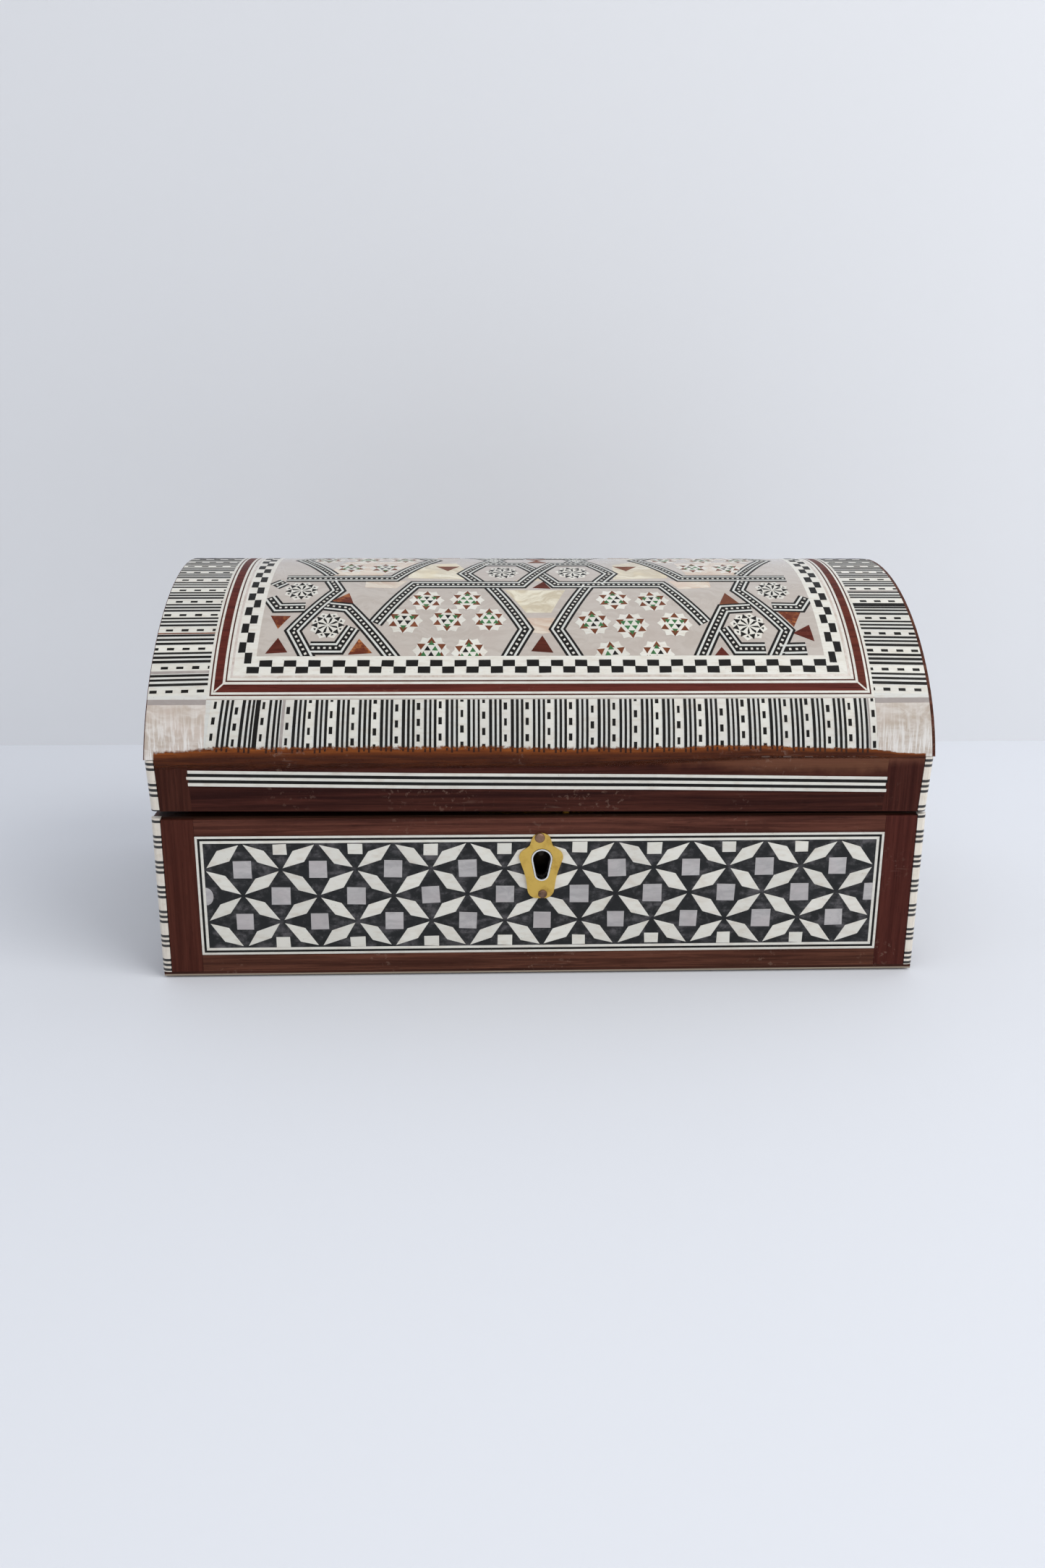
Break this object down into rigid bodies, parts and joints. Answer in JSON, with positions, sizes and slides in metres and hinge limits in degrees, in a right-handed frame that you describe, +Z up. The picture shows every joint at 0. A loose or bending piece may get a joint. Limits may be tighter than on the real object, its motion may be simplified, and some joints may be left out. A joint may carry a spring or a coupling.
{
  "type": "inlaid domed jewellery box",
  "caption": "Rectangular wooden box with a domed hinged lid, bone and pearl inlay, a small box lock with a keyhole plate, and a velvet lining.",
  "frame": {"origin": "middle of the footprint on the table, lid closed", "axes": "+X to the right-hand end, +Y to the back with the hinges, +Z up; the keyhole faces -Y"},
  "size_m": [0.2112, 0.1186, 0.1074],
  "materials": {
    "mahogany": "satin varnish",
    "carcass_wood": "bare pale wood",
    "bone": "polished bone",
    "lattice_inlay": "bone petals and pearl squares in dark resin",
    "pearl_inlay": "polished pearl, bone and wood mosaic",
    "velvet": "red velvet",
    "felt": "green felt",
    "brass": "worn brass",
    "copper_pins": "aged copper",
    "steel": "bright steel"
  },
  "bodies": {
    "box_body": {"back_board": "carcass_wood", "back_frame": "mahogany", "back_panel": "lattice_inlay", "base_board": "carcass_wood", "base_felt": "felt", "body_lining": "velvet", "body_strip_back_left": "bone", "body_strip_back_right": "bone", "body_strip_front_left": "bone", "body_strip_front_right": "bone", "escutcheon": "brass", "escutcheon_pin_bottom": "copper_pins", "escutcheon_pin_top": "copper_pins", "floor_pad": "velvet", "front_board": "carcass_wood", "front_frame": "mahogany", "front_panel": "lattice_inlay", "hinge_left_body_leaf": "brass", "hinge_left_body_screw_inner": "brass", "hinge_left_body_screw_outer": "brass", "hinge_left_pin": "steel", "hinge_right_body_leaf": "brass", "hinge_right_body_screw_inner": "brass", "hinge_right_body_screw_outer": "brass", "hinge_right_pin": "steel", "keyhole_ferrule": "steel", "left_board": "carcass_wood", "left_frame": "mahogany", "left_panel": "lattice_inlay", "lock_case": "brass", "lock_key_post": "steel", "lock_plate": "brass", "lock_screw_left": "brass", "lock_screw_right": "brass", "right_board": "carcass_wood", "right_frame": "mahogany", "right_panel": "lattice_inlay"},
    "lid": {"dome_core": "carcass_wood", "dome_inlay": "pearl_inlay", "hinge_left_lid_leaf": "brass", "hinge_left_lid_screw_inner": "brass", "hinge_left_lid_screw_outer": "brass", "hinge_right_lid_leaf": "brass", "hinge_right_lid_screw_inner": "brass", "hinge_right_lid_screw_outer": "brass", "lid_back_rail": "mahogany", "lid_end_left": "mahogany", "lid_end_right": "mahogany", "lid_front_rail": "mahogany", "lid_lining": "velvet", "lid_strip_back_left": "bone", "lid_strip_back_right": "bone", "lid_strip_front_left": "bone", "lid_strip_front_right": "bone", "strike_plate": "brass", "strike_screw_left": "brass", "strike_screw_right": "brass"},
    "bolt": {"lock_bolt": "steel", "lock_bolt_spring": "steel"}
  },
  "joints": [
    {"name": "lid_hinge", "type": "hinge", "parent": "box_body", "child": "lid", "pos_m": [0, 0.05745, 0.04745], "axis": [-1, 0, 0], "range_deg": [0, 95]},
    {"name": "bolt_slide", "type": "slide", "parent": "box_body", "child": "bolt", "axis": [1, 0, 0], "range_m": [0, 0.0035]}
  ]
}
